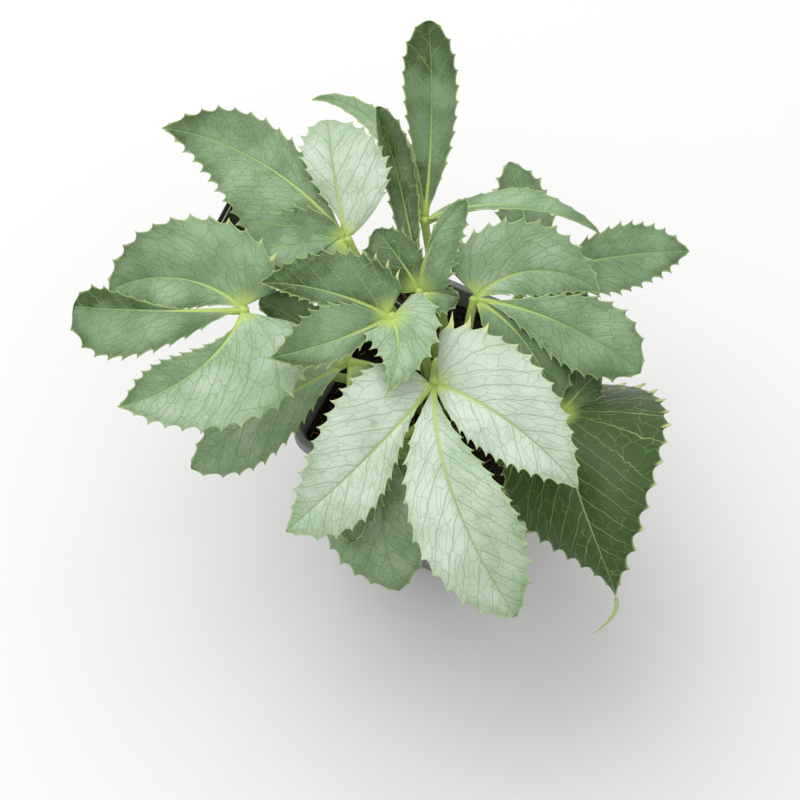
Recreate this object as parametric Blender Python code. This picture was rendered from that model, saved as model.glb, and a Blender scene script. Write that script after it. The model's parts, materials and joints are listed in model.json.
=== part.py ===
"""A young holly-leaved hellebore in a small square nursery pot, with a stake label.

Lengths are written in millimetres and angles in degrees, and MM turns the built meshes into metres.
The origin is the middle of the pot's underside, +Z is up and the pot's sides lie along X and Y.
The leaves are described in a frame of their own, turned by FOLIAGE_TURN about the pot's upright axis.
"""

from dataclasses import dataclass
from math import cos, pi, radians, sin

import bmesh
import bpy
import numpy as np

MM = 0.001
FOLIAGE_TURN = 25.6

# Pot: square, tapering to a smaller foot, with a turned-out rim.
POT_HEIGHT = 90.0
POT_TOP = 90.0
POT_FOOT = 63.0
POT_WALL = 1.2
POT_CORNER = 9.0
POT_CORNER_STEPS = 5
POT_FLOOR = 2.0
POT_LIP = 1.5
POT_LIP_HEIGHT = 6.0
DRAIN_RADIUS = 4.0
DRAIN_PLACE = 17.0

# Compost: its top lies below the rim, and it fills the pot down to the inside of the floor.
SOIL_TOP = 81.0
STALK_GAP = 0.35
STALK_DEPTH = 22.0
STALK_UPRIGHT = 2.5
STALK_RADIUS = 2.0
STALK_SIDES = 8
STALK_STEPS = 9
KNOT_RADIUS = 2.4

# Label: a thin stake pushed into the compost, leaning out over the rim.
LABEL_FOOT = (-15.0, 28.5)
LABEL_HEADING = 158.0
LABEL_RISE = 36.0
LABEL_ABOVE = 88.0
LABEL_BELOW = 28.0
LABEL_WIDTH = 23.0
LABEL_THICK = 0.8
LABEL_GAP = 0.35

# Leaf blades.
BLADE_THICK = 0.8
FACE = np.array((0.0, -0.4, 0.92))
HALF_ROW = 0.55
TOOTH_TIP = 0.55
TOOTH_LEAN = 1.3
LEAF_GREEN = (0.20, 0.34, 0.16)

# Edges that turn by more than this stay crisp in smooth shading.
SMOOTH_LEAF = 50.0
SMOOTH_POT = 30.0


@dataclass
class Leaflet:
    """One blade: where its midrib goes, how wide each side is and how the blade is held."""

    length: float
    heading: float
    rise: float
    left: float
    right: float
    droop: float = 30.0
    turn: float = 0.0
    roll: float = 0.0
    twist: float = 0.0
    fold: float = 12.0
    hook: float = 0.0
    curl: float = 0.0
    widest_left: float = 0.48
    widest_right: float = 0.48
    lobe_left: float = 0.0
    lobe_right: float = 0.0
    sweep: float = 20.0
    blunt: float = 0.8
    teeth: int = 11
    tooth: float = 2.0
    jag: float = 1.0
    wave: float = 0.8


LEAVES = {
    "leaf_front": {
        "crown": (0, -6),
        "via": (-4, -6, 138),
        "hub": (-5, -33, 150),
        "leaflets": [
            Leaflet(64, -29, 14, 23, 13, droop=42, turn=-17, widest_left=0.25, widest_right=0.45,
                    lobe_left=0.1, sweep=19, blunt=1.1, teeth=14, jag=2.4),
            Leaflet(91, -93, 8, 17, 17, droop=45, turn=46, widest_left=0.65, widest_right=0.6, blunt=0.9,
                    teeth=15),
            Leaflet(75, -123, 6, 14, 21, droop=32, turn=-24, widest_left=0.7, widest_right=0.3,
                    lobe_right=0.1, sweep=0, blunt=1.1, teeth=14, jag=1.6),
        ],
    },
    "leaf_young": {
        "crown": (-5, -1),
        "via": (-10, -6, 140),
        "hub": (-20, -14, 163),
        "leaflets": [
            Leaflet(51, 156, 15, 5, 15, droop=40, turn=9, widest_left=0.45, widest_right=0.3,
                    lobe_right=0.1, sweep=0, blunt=1.15, teeth=12, jag=2),
            Leaflet(48, -140, 15, 7, 12, droop=45, turn=-46, widest_left=0.55, widest_right=0.45,
                    blunt=1.55, teeth=12),
            Leaflet(32, -68, 14, 15, 12, droop=50, turn=-54, widest_left=0.2, widest_right=0.1,
                    lobe_left=0.05, sweep=25, blunt=1.7, teeth=9),
        ],
    },
    "leaf_centre": {
        "crown": (-1, 6),
        "via": (-8, 9, 122),
        "hub": (-10, 14, 136),
        "leaflets": [
            Leaflet(72, 97, 17, 5, 7, droop=0, turn=12, fold=32, widest_left=0.5, widest_right=0.7,
                    blunt=0.6, teeth=12, tooth=1.2),
            Leaflet(28, 130, 46, 12, 8, droop=45, teeth=9),
            Leaflet(39, 81, 56, 3, 10, droop=25, turn=-56, widest_left=0.8, widest_right=0.35,
                    lobe_right=1.3, sweep=15, blunt=0.7, teeth=9),
            Leaflet(15, -14, 8, 3, 7, droop=10, widest_left=0.6, widest_right=0.55, blunt=0.6, teeth=6),
        ],
    },
    "leaf_tall": {
        "crown": (2, 11),
        "via": (-6, 35, 124),
        "hub": (-8, 41, 142),
        "leaflets": [
            Leaflet(72, 81, 42, 10, 9, droop=5, turn=15, fold=20, widest_left=0.7, widest_right=0.65,
                    blunt=0.55, teeth=13, tooth=1.2),
            Leaflet(68, 10, 24, 9, 3, droop=48, turn=-30, roll=45, hook=10, widest_left=0.55,
                    widest_right=0.3, blunt=1, teeth=12, tooth=1.2),
            Leaflet(82, 94, -2, 5, 5, droop=-4, turn=62, hook=50, widest_left=0.2, widest_right=0.4,
                    teeth=10, tooth=1.2),
        ],
    },
    "leaf_back_left": {
        "crown": (-7, 8),
        "via": (-26, 19, 127),
        "hub": (-36, 29, 147),
        "leaflets": [
            Leaflet(89, 129, 14, 27, 14, droop=32, turn=29, roll=-6, fold=5, widest_left=0.15,
                    widest_right=0.6, blunt=1.1, teeth=15),
            Leaflet(51, 105, 28, 10, 19, droop=21, turn=-12, hook=50, widest_left=0.65, widest_right=0.45,
                    blunt=1.05),
            Leaflet(40, -178, 6, 14, 12, droop=45, widest_left=0.3, lobe_left=0.1, teeth=9),
        ],
    },
    "leaf_left": {
        "crown": (-11, 3),
        "via": (-74, 1, 92),
        "hub": (-72, -3, 150),
        "leaflets": [
            Leaflet(63, 189, 10, 17, 7, turn=-27, widest_left=0.7, widest_right=0.85, blunt=0.65, teeth=12),
            Leaflet(52, 138, 14, 12, 23, droop=28, turn=65, fold=14, widest_left=0.6, widest_right=0.35,
                    lobe_right=0.05, sweep=24, blunt=0.85, teeth=13, jag=2.2),
            Leaflet(62, -103, 8, 29, 9, droop=35, turn=-80, widest_left=0.25, widest_right=0.65,
                    lobe_left=0.05, sweep=0, blunt=1.35, teeth=14, jag=1.8),
        ],
    },
    "leaf_right": {
        "crown": (6, 2),
        "via": (8, 6, 130),
        "hub": (10, 11, 135),
        "leaflets": [
            Leaflet(51, 44, 18, 19, 9, droop=40, turn=-80, widest_left=0.3, widest_right=0.5, lobe_left=0.1,
                    sweep=0, blunt=1.15, teeth=13, jag=1.8),
            Leaflet(67, -16, 12, 14, 13, droop=35, turn=-18, widest_left=0.7, widest_right=0.65, blunt=0.95,
                    teeth=13),
            Leaflet(51, -33, 0, 12, 12, turn=-40, widest_left=0.6, widest_right=0.5, blunt=1.1),
        ],
    },
    "leaf_back_right": {
        "crown": (9, 8),
        "via": (26, 26, 110),
        "hub": (34, 34, 116),
        "leaflets": [
            Leaflet(60, 7, 20, 11, 13, droop=40, turn=6, widest_left=0.6, widest_right=0.45, blunt=1.05,
                    teeth=14),
            Leaflet(49, 101, 22, 9, 10, teeth=9),
            Leaflet(34, -52, 4, 9, 9, droop=25, teeth=7),
        ],
    },
    "leaf_low_left": {
        "crown": (-10, -4),
        "via": (-24, -3, 112),
        "hub": (-35, -2, 112),
        "leaflets": [
            Leaflet(71, -151, 4, 15, 12, droop=28, turn=8, widest_left=0.65, widest_right=0.35, teeth=13),
            Leaflet(69, -93, 2, 19, 7, turn=8, widest_left=0.35, widest_right=0.8, teeth=12),
            Leaflet(41, 140, 22, 7, 8, droop=15, turn=17, widest_left=0.25, widest_right=0.6, blunt=0.4,
                    teeth=9),
        ],
    },
    "leaf_bottom": {
        "crown": (-5, -12),
        "via": (-14, -24, 98),
        "hub": (-20, -30, 99),
        "leaflets": [
            Leaflet(56, -108, 6, 16, 24, droop=50, turn=45, widest_left=0.6, widest_right=0.35, blunt=0.9,
                    teeth=12),
            Leaflet(33, -32, 6, 8, 8, droop=25, teeth=7),
            Leaflet(32, -150, 2, 8, 8, droop=20, teeth=7),
        ],
    },
    "leaf_drooping": {
        "crown": (8, -6),
        "via": (32, -20, 114),
        "hub": (41, -27, 118),
        "leaflets": [
            Leaflet(78, -90, 20, 50, 24, droop=65, turn=36, roll=19, twist=-59, fold=16, hook=30, curl=0.4,
                    widest_left=0.15, widest_right=0.35, lobe_left=0.1, sweep=59, blunt=1.75, teeth=15,
                    tooth=3, jag=2),
            Leaflet(24, 52, 5, 7, 7, droop=20, teeth=7),
            Leaflet(30, -140, 2, 8, 8, droop=20, teeth=7),
        ],
    },
}


def unit(vector):
    return vector / np.linalg.norm(vector)


def direction(heading, pitch):
    """A unit vector at this compass heading, counter-clockwise from +X, and this angle above level."""
    heading, pitch = radians(heading), radians(pitch)
    return np.array((cos(heading) * cos(pitch), sin(heading) * cos(pitch), sin(pitch)))


class Blade:
    """The middle surface of a leaflet, as a function of s along the midrib and q across it."""

    STEPS = 60

    def __init__(self, hub, leaflet):
        self.leaf = leaflet
        middles = (np.arange(self.STEPS) + 0.5) / self.STEPS
        steps = [self.tangent(s) * leaflet.length / self.STEPS for s in middles]
        self.midrib = np.vstack([hub, np.asarray(hub) + np.cumsum(steps, axis=0)])

    def tangent(self, s):
        leaf = self.leaf
        pitch = leaf.rise - leaf.droop * s - leaf.hook * s**5
        return direction(leaf.heading + leaf.turn * s, pitch)

    def on_midrib(self, s):
        at = min(max(s, 0.0), 1.0) * self.STEPS
        low = min(int(at), self.STEPS - 1)
        return self.midrib[low] + (at - low) * (self.midrib[low + 1] - self.midrib[low])

    def half_width(self, s, side):
        """The full half width where the blade is widest, and nothing at the tip. side is 1 for left."""
        leaf = self.leaf
        full, widest, lobe = leaf.left, leaf.widest_left, leaf.lobe_left
        if side < 0:
            full, widest, lobe = leaf.right, leaf.widest_right, leaf.lobe_right
        s = min(max(s, 1e-6), 1 - 1e-6)
        base_power = leaf.blunt * (widest + lobe) / (1 - widest)
        return full * ((s + lobe) / (widest + lobe)) ** base_power * ((1 - s) / (1 - widest)) ** leaf.blunt

    def point(self, s, q, extra=0.0):
        """q runs from -1 at the right margin to 1 at the left, and extra goes on past the margin."""
        leaf = self.leaf
        side = 1 if q >= 0 else -1
        along = self.tangent(s)
        up = unit(FACE - np.dot(FACE, along) * along)
        left = np.cross(up, along)
        roll = radians(leaf.roll + leaf.twist * s)
        up, left = up * cos(roll) + left * sin(roll), left * cos(roll) - up * sin(roll)
        width = self.half_width(s, side)
        across = abs(q) * width + 0.85 * extra
        has_lobe = leaf.lobe_left if side > 0 else leaf.lobe_right
        sweep = radians(leaf.sweep if has_lobe else 0.0) * max(0.0, 1 - s) ** 2
        outward = left * side * cos(sweep) - along * sin(sweep)
        fold = radians(leaf.fold) * (1 - 0.5 * abs(q))
        wave = leaf.wave * sin(4 * pi * s + side) * abs(q) ** 2 * min(1.0, width / 8)
        lift = across * sin(fold) + wave - leaf.curl * across * abs(q)
        forward = along * min(0.55 * extra, TOOTH_LEAN)
        return self.on_midrib(s) + outward * across * cos(fold) + up * lift + forward

    def normal(self, s, q):
        s = min(max(s, 0.03), 0.97)
        q = min(max(q, -0.97), 0.97)
        ahead = self.point(s + 0.02, q) - self.point(s - 0.02, q)
        aside = self.point(s, q + 0.03) - self.point(s, q - 0.03)
        return unit(np.cross(ahead, aside))


def tooth_size(blade, s, number, side):
    """How far a tooth stands out. A lobed side has its largest teeth first, and the others start bare."""
    leaf = blade.leaf
    size = leaf.tooth * (1.5 - 0.6 * s) * min(1.0, blade.half_width(s, side) / 6)
    if (leaf.lobe_left if side > 0 else leaf.lobe_right) > 0:
        return size * (1 + (leaf.jag - 1) * max(0.0, 1 - number / 3))
    start = min(1.0, max(0.0, (s - 0.1) / 0.24))
    return size * (0.2 + 0.8 * start * start * (3 - 2 * start))


def blade_rows(blade):
    """The blade's points as (s, q, extra past the margin): the midrib, then each side's two rows."""
    leaf = blade.leaf
    stations = [0.02 + 0.98 * i / leaf.teeth for i in range(leaf.teeth)]
    pitch = 0.98 / leaf.teeth
    rows = {"mid": [(s, 0.0, 0.0) for s in stations]}
    for side in (1, -1):
        rows["half", side] = [(s, HALF_ROW * side, 0.0) for s in stations]
        margin = []
        for i, s in enumerate(stations):
            tip = s + TOOTH_TIP * pitch
            margin.append((s, float(side), 0.0))
            margin.append((tip, float(side), tooth_size(blade, tip, i, side)))
        rows["margin", side] = margin
    return rows


def blade_solid(hub, leaflet):
    """Points and triangles of the closed blade, split alike on its upper and lower faces."""
    blade = Blade(hub, leaflet)
    rows = blade_rows(blade)
    points, index = [], {}
    for name, row in rows.items():
        index[name] = [len(points) + i for i in range(len(row))]
        points += row
    tip = len(points)
    points.append((1.0, 0.0, 0.0))

    top = []
    for side in (1, -1):
        mid, half, margin = index["mid"], index["half", side], index["margin", side]
        faces = []
        for i in range(leaflet.teeth - 1):
            faces += [(mid[i], mid[i + 1], half[i + 1]), (mid[i], half[i + 1], half[i])]
            faces += [
                (half[i], margin[2 * i + 1], margin[2 * i]),
                (half[i], half[i + 1], margin[2 * i + 1]),
                (half[i + 1], margin[2 * i + 2], margin[2 * i + 1]),
            ]
        faces.append((mid[-1], tip, half[-1]))
        faces += [(half[-1], margin[-1], margin[-2]), (half[-1], tip, margin[-1])]
        top += faces if side > 0 else [face[::-1] for face in faces]

    around = [index["mid"][0], index["half", -1][0]] + index["margin", -1] + [tip]
    around += index["margin", 1][::-1] + [index["half", 1][0]]
    count = len(points)
    centre = [blade.point(s, q, extra) for s, q, extra in points]
    off = [blade.normal(s, q) * BLADE_THICK / 2 for s, q, extra in points]
    solid = [c + o for c, o in zip(centre, off)] + [c - o for c, o in zip(centre, off)]
    faces = list(top) + [(c + count, b + count, a + count) for a, b, c in top]
    for a, b in zip(around, around[1:] + around[:1]):
        faces += [(a, a + count, b + count), (a, b + count, b)]
    return np.array(solid), faces


def stalk_route(leaf):
    """Straight up out of its hole in the compost, then one smooth curve to the hub."""
    foot = np.array((*leaf["crown"], SOIL_TOP + STALK_UPRIGHT), float)
    via, hub = np.array(leaf["via"], float), np.array(leaf["hub"], float)
    rise = foot + np.array((0.0, 0.0, 0.45 * (via[2] - foot[2])))
    route = [foot - np.array((0.0, 0.0, STALK_DEPTH + STALK_UPRIGHT))]
    for step in range(STALK_STEPS + 1):
        t = step / STALK_STEPS
        route.append(
            (1 - t) ** 3 * foot + 3 * (1 - t) ** 2 * t * rise + 3 * (1 - t) * t**2 * via + t**3 * hub
        )
    return np.array(route)


def tube(route, radii, sides):
    """Points and triangles of a closed tube along the route."""
    across = np.array((1.0, 0.0, 0.0))
    points = []
    for i, centre in enumerate(route):
        along = unit(route[min(i + 1, len(route) - 1)] - route[max(i - 1, 0)])
        across = unit(across - np.dot(across, along) * along)
        other = np.cross(along, across)
        for k in range(sides):
            turn = 2 * pi * k / sides
            points.append(centre + radii[i] * (across * cos(turn) + other * sin(turn)))
    faces = []
    for i in range(len(route) - 1):
        for k in range(sides):
            a, b = i * sides + k, i * sides + (k + 1) % sides
            faces += [(a, b, b + sides), (a, b + sides, a + sides)]
    last = len(points) - sides
    for k in range(1, sides - 1):
        faces += [(0, k + 1, k), (last, last + k, last + k + 1)]
    return np.array(points), faces


def stalk_solid(leaf):
    route = stalk_route(leaf)
    thick = leaf.get("stalk", STALK_RADIUS)
    radii = [thick * (1 - 0.25 * max(0, i - 1) / STALK_STEPS) for i in range(len(route))]
    return tube(route, radii, STALK_SIDES)


def label_solid(grow=0.0):
    """The stake: square at its top and pointed at its foot. A positive grow gives the slot's cutter."""
    along = direction(LABEL_HEADING, LABEL_RISE)
    across = unit(np.cross((0.0, 0.0, 1.0), along))
    up = np.cross(along, across)
    foot = np.array((*LABEL_FOOT, SOIL_TOP))
    half, below, above = LABEL_WIDTH / 2 + grow, LABEL_BELOW + grow, LABEL_ABOVE
    outline = [(above, -half), (above, half), (-below + half, half), (-below, 0.0), (-below + half, -half)]
    thick = LABEL_THICK / 2 + grow
    points = [foot + along * a + across * b + up * side * thick for side in (1, -1) for a, b in outline]
    faces = []
    for k in range(1, 4):
        faces += [(0, k, k + 1), (5, 5 + k + 1, 5 + k)]
    for k in range(5):
        after = (k + 1) % 5
        faces += [(k, 5 + k, 5 + after), (k, 5 + after, after)]
    return np.array(points), faces


def to_row(points):
    """From millimetres in the leaves' own frame to metres in the part's frame."""
    turn = radians(FOLIAGE_TURN)
    x, y, z = np.asarray(points, float).T * MM
    return np.stack((x * cos(turn) - y * sin(turn), x * sin(turn) + y * cos(turn), z), axis=1)


# Blender objects, made from the points and faces worked out above.
def clear_scene():
    for old in list(bpy.data.objects):
        bpy.data.objects.remove(old, do_unlink=True)


def material(name, colour, roughness, metallic=0.0):
    made = bpy.data.materials.new(name)
    made.use_nodes = True
    shader = made.node_tree.nodes["Principled BSDF"]
    shader.inputs["Base Color"].default_value = (*colour, 1.0)
    shader.inputs["Roughness"].default_value = roughness
    shader.inputs["Metallic"].default_value = metallic
    return made


def mesh_object(name, points, faces, collection=None):
    mesh = bpy.data.meshes.new(name)
    mesh.from_pydata([tuple(point) for point in points], [], [tuple(face) for face in faces])
    mesh.validate()
    made = bpy.data.objects.new(name, mesh)
    (collection or bpy.context.scene.collection).objects.link(made)
    return made


def boolean(target, operation, others, solver="EXACT"):
    """Joins the others to the target or cuts them from it, for good, and removes them."""
    group = bpy.data.collections.new("operands")
    bpy.context.scene.collection.children.link(group)
    for other in others:
        for owner in list(other.users_collection):
            owner.objects.unlink(other)
        group.objects.link(other)
    modifier = target.modifiers.new(operation.title(), "BOOLEAN")
    modifier.operation = operation
    modifier.operand_type = "COLLECTION"
    modifier.collection = group
    modifier.solver = solver
    bpy.context.view_layer.update()
    graph = bpy.context.evaluated_depsgraph_get()
    joined = bpy.data.meshes.new_from_object(target.evaluated_get(graph))
    target.modifiers.clear()
    target.data = joined
    for other in list(others):
        bpy.data.objects.remove(other, do_unlink=True)
    bpy.data.collections.remove(group)
    return target


def smooth(obj, angle):
    """Shades a round piece smooth, leaving edges sharper than this angle crisp."""
    obj.data.shade_smooth()
    obj.data.set_sharp_from_angle(angle=radians(angle))


def ball(name, centre, radius):
    """A small round knot, where the leaflets join their stalk."""
    made = bmesh.new()
    bmesh.ops.create_uvsphere(made, u_segments=8, v_segments=6, radius=radius)
    points = [np.array(vert.co) + centre for vert in made.verts]
    made.verts.index_update()
    faces = [[vert.index for vert in face.verts] for face in made.faces]
    made.free()
    return mesh_object(name, to_row(points), faces)


def make_leaf(name, look):
    """The stalk, its knot and the leaflets, fused into one solid."""
    leaf = LEAVES[name]
    hub = np.array(leaf["hub"], float)
    points, faces = stalk_solid(leaf)
    whole = mesh_object(name, to_row(points), faces)
    pieces = [ball(name + "_knot", hub, leaf.get("knot", KNOT_RADIUS))]
    for number, leaflet in enumerate(leaf["leaflets"]):
        points, faces = blade_solid(hub, leaflet)
        pieces.append(mesh_object(f"{name}_{number}", to_row(points), faces))
    boolean(whole, "UNION", pieces, "MANIFOLD")
    whole.data.materials.clear()
    whole.data.materials.append(look)
    smooth(whole, SMOOTH_LEAF)
    return whole


def rounded_square(half, radius, z):
    """A ring of points round a square of this half width, counter-clockwise seen from above."""
    ring = []
    for corner in range(4):
        middle = pi / 4 + corner * pi / 2
        x, y = (half - radius) * np.sign(cos(middle)), (half - radius) * np.sign(sin(middle))
        for step in range(POT_CORNER_STEPS + 1):
            angle = corner * pi / 2 + step * pi / 2 / POT_CORNER_STEPS
            ring.append((x + radius * cos(angle), y + radius * sin(angle), z))
    return ring


def lofted(name, rings):
    """A solid of revolution's square cousin: rings joined in order, with both ends filled."""
    count = len(rings[0])
    points = [point for ring in rings for point in ring]
    faces = []
    for i in range(len(rings) - 1):
        for k in range(count):
            after = (k + 1) % count
            a, b = i * count, (i + 1) * count
            faces.append((a + k, a + after, b + after, b + k))
    faces.append(tuple(range(count))[::-1])
    faces.append(tuple((len(rings) - 1) * count + k for k in range(count)))
    return mesh_object(name, np.array(points) * MM, faces)


def pot_half(z):
    """Half the pot's outer width at this height, below its rim."""
    return POT_FOOT / 2 + (POT_TOP / 2 - POT_LIP - POT_FOOT / 2) * z / POT_HEIGHT


def make_pot(look):
    lip_foot = POT_HEIGHT - POT_LIP_HEIGHT
    soft = 0.5
    inside = POT_CORNER - POT_WALL
    rings = [
        rounded_square(pot_half(0) - soft, POT_CORNER - soft, 0.0),
        rounded_square(pot_half(0), POT_CORNER, soft),
        rounded_square(pot_half(lip_foot), POT_CORNER, lip_foot),
        rounded_square(POT_TOP / 2, POT_CORNER + POT_LIP, lip_foot),
        rounded_square(POT_TOP / 2, POT_CORNER + POT_LIP, POT_HEIGHT - soft),
        rounded_square(POT_TOP / 2 - soft, POT_CORNER + POT_LIP - soft, POT_HEIGHT),
        rounded_square(pot_half(POT_HEIGHT) - POT_WALL, inside, POT_HEIGHT),
        rounded_square(pot_half(POT_FLOOR) - POT_WALL, inside, POT_FLOOR),
    ]
    pot = lofted("pot", rings)
    holes = []
    for x in (-1, 1):
        for y in (-1, 1):
            bpy.ops.mesh.primitive_cylinder_add(
                vertices=16, radius=DRAIN_RADIUS * MM, depth=4 * POT_FLOOR * MM,
                location=(x * DRAIN_PLACE * MM, y * DRAIN_PLACE * MM, 0.0),
            )
            holes.append(bpy.context.object)
    boolean(pot, "DIFFERENCE", holes)
    pot.data.materials.clear()
    pot.data.materials.append(look)
    smooth(pot, SMOOTH_POT)
    return pot


def crumbled(x, y):
    """How far the compost's top stands above or below its level, from a few crossing waves."""
    return 0.9 * sin(0.31 * x + 1.3) * sin(0.27 * y) + 0.5 * sin(0.83 * x - 0.61 * y) + 0.35 * sin(1.1 * y + 2.0)


def make_soil(look):
    gap = STALK_GAP
    low, high = POT_FLOOR + gap, SOIL_TOP
    outer = POT_WALL + gap
    rings = [
        rounded_square(pot_half(low) - outer, POT_CORNER - outer, low),
        rounded_square(pot_half(high) - outer, POT_CORNER - outer, high),
    ]
    for share in (0.88, 0.74, 0.6, 0.46, 0.32, 0.18, 0.06):
        flat = rounded_square((pot_half(high) - outer) * share, (POT_CORNER - outer) * share, high)
        rings.append([(x, y, z + crumbled(x, y) + 0.5) for x, y, z in flat])
    soil = lofted("soil", rings)
    cutters = []
    for name, leaf in LEAVES.items():
        foot = np.array((*leaf["crown"], 0.0))
        low, high = SOIL_TOP - STALK_DEPTH - gap, SOIL_TOP + 6
        route = [foot + np.array((0.0, 0.0, z)) for z in (low, high)]
        radius = leaf.get("stalk", STALK_RADIUS) + gap
        points, faces = tube(route, [radius, radius], 12)
        cutters.append(mesh_object("hole_" + name, to_row(points), faces))
    points, faces = label_solid(LABEL_GAP)
    cutters.append(mesh_object("slot", to_row(points), faces))
    boolean(soil, "DIFFERENCE", cutters)
    soil.data.materials.clear()
    soil.data.materials.append(look)
    return soil


def make_label(look):
    points, faces = label_solid()
    label = mesh_object("plant_label", to_row(points), faces)
    label.data.materials.append(look)
    return label


def main():
    clear_scene()
    make_pot(material("pot_plastic", (0.23, 0.235, 0.23), 0.6))
    make_soil(material("compost", (0.012, 0.010, 0.008), 0.95))
    make_label(material("label_plastic", (0.01, 0.01, 0.01), 0.4))
    for name in LEAVES:
        make_leaf(name, material(name + "_green", LEAF_GREEN, 0.45))


main()
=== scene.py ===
"""The looks of a young holly-leaved hellebore in its nursery pot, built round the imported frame.

Lengths are in millimetres and angles in degrees until MM turns a finished mesh into metres. The studio's own
sizes are in metres. The leaves are described in a frame of their own, turned by FOLIAGE_TURN about the pot's
upright axis, as in the solid model.
"""

import json
from collections import namedtuple
from dataclasses import dataclass
from math import cos, pi, radians, sin

import bmesh
import bpy
import numpy as np
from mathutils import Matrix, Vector

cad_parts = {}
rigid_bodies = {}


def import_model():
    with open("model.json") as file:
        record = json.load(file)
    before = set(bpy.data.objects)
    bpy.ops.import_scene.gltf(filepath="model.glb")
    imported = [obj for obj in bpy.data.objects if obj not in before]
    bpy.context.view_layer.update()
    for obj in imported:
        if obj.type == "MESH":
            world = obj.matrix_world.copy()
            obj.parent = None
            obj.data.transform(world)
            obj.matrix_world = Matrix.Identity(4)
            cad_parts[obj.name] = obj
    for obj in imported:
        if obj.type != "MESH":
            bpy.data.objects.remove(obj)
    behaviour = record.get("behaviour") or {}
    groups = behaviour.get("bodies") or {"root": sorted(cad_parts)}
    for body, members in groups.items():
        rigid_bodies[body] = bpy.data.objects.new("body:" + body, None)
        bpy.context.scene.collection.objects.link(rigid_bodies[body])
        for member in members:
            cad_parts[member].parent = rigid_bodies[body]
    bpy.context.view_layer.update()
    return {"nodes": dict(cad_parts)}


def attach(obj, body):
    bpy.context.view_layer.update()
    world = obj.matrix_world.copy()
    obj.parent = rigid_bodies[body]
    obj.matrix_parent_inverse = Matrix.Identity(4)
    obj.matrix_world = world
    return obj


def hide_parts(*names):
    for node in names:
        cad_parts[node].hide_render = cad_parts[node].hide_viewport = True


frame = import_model()

MM = 0.001
TINY = 1e-6
FOLIAGE_TURN = 25.6

# Camera, in the leaves' own frame.
EYE = (-16.9, -455.0, 869.0)
TARGET = (-16.9, -5.2, 90.0)
LENS = 108.1

# Studio, in metres. A light's azimuth is how far round from the camera it stands, anticlockwise.
NEAREST, FURTHEST = 0.05, 20.0
FLOOR_SIZE = 30.0
WORLD_STRENGTH = 0.70
LIT_HEIGHT = 0.12
LIGHTS = {
    "key": {"azimuth": -140.0, "elevation": 64.0, "distance": 1.4, "size": 1.5, "watts": 16.0},
    "fill": {"azimuth": 30.0, "elevation": 60.0, "distance": 1.6, "size": 1.6, "watts": 3.0},
}

# Pot, as in the solid model, with its edges rounded off.
POT_HEIGHT = 90.0
POT_TOP = 90.0
POT_FOOT = 63.0
POT_WALL = 1.2
POT_CORNER = 9.0
POT_CORNER_STEPS = 12
POT_FLOOR = 2.0
POT_LIP = 1.5
POT_LIP_HEIGHT = 6.0
DRAIN_RADIUS = 4.0
DRAIN_PLACE = 17.0
DRAIN_SIDES = 32
FOOT_ROUND = 1.0
LIP_FOOT_ROUND = 0.5
LIP_ROUND = 0.6
INNER_ROUND = 0.5
SHARP_TURN = 40.0

# Compost, as in the solid model, with loose crumbs and fibres on it.
SOIL_TOP = 81.0
CRUMBS = 2600
CRUMB_LEAST = 0.5
CRUMB_SPREAD = 1.5
CRUMB_BED = 0.5
CRUMB_GAP = 0.4
CRUMB_SEED = 11
FIBRES = 150
FIBRE_STEPS = 9
FIBRE_SIDES = 5
FIBRE_BED = 1.7
FIBRE_SEED = 23

# Label, as in the solid model, with a thin line on each face. Crumbs keep clear of its foot.
LABEL_FOOT = (-15.0, 28.5)
LABEL_HEADING = 158.0
LABEL_RISE = 36.0
LABEL_ABOVE = 88.0
LABEL_BELOW = 28.0
LABEL_WIDTH = 23.0
LABEL_THICK = 0.8
LABEL_CLEAR = (-3.0, 8.0)
LINE_START = 4.0
LINE_EDGE = 1.5
LINE_WIDTH = 0.45
LINE_STEPS = 24

# Stalks, and the rib under each blade.
STALK_DEPTH = 22.0
STALK_UPRIGHT = 2.5
STALK_RADIUS = 2.0
STALK_TAPER = 0.25
STALK_SWELL = 0.25
STALK_STEPS = 36
STALK_SIDES = 18
RIB_RADIUS = 1.25
RIB_LEAST = 0.16
RIB_END = 0.9
RIB_STEPS = 28
RIB_SIDES = 8

# The dried tail at a leaflet's tip.
TAIL_RADIUS = 0.75
TAIL_LEAST = 0.14
TAIL_SUNK = 0.2
TAIL_STEPS = 14
TAIL_WAY = 1.9

# Blades. COLUMNS goes from the midrib to a margin.
LEAF_SEED = 40
FACE = np.array((0.0, -0.4, 0.92))
BLADE_THICK = 0.5
BLADE_INSET = 0.03
QUILT = 0.1
GROOVE_DEPTH = 0.3
GROOVE_WIDTH = 0.7
COLUMNS = (0.0, 0.02, 0.045, 0.08, 0.13, 0.19, 0.26, 0.34, 0.42, 0.5,
           0.58, 0.66, 0.73, 0.79, 0.84, 0.88, 0.92, 0.95, 0.975, 1.0)

# Teeth. Each rises to its spine at TOOTH_TIP of its pitch and is down again at TOOTH_END.
TEETH_START = 0.02
TOOTH_TIP = 0.55
TOOTH_END = 0.9
TOOTH_LEAN = 1.3
TOOTH_OUT = 0.85
TOOTH_AHEAD = 0.55
TOOTH_ROOT = 0.8
TOOTH_SIZES = (0.8, 1.25)
TOOTH_RIPPLE = 0.12
RIPPLE_RATE = 17
TOOTH_ROWS = (0.0, 0.16, 0.3, 0.41, 0.49, TOOTH_TIP, 0.6, 0.67, 0.77, 0.88)
TIP_ROWS = (0.15, 0.06, 0.02)

# Where side veins run, and how wide veins look, as shares of the space between two or of a cell of the net.
VEIN_SPACING = 9.0
VEIN_LEAN = 1.25
VEIN_BEND = 0.012
VEIN_FAN = 24.0
SIDE_VEIN = 0.05
NET_VEIN = 0.036
FINE_VEIN = 0.08

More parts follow.
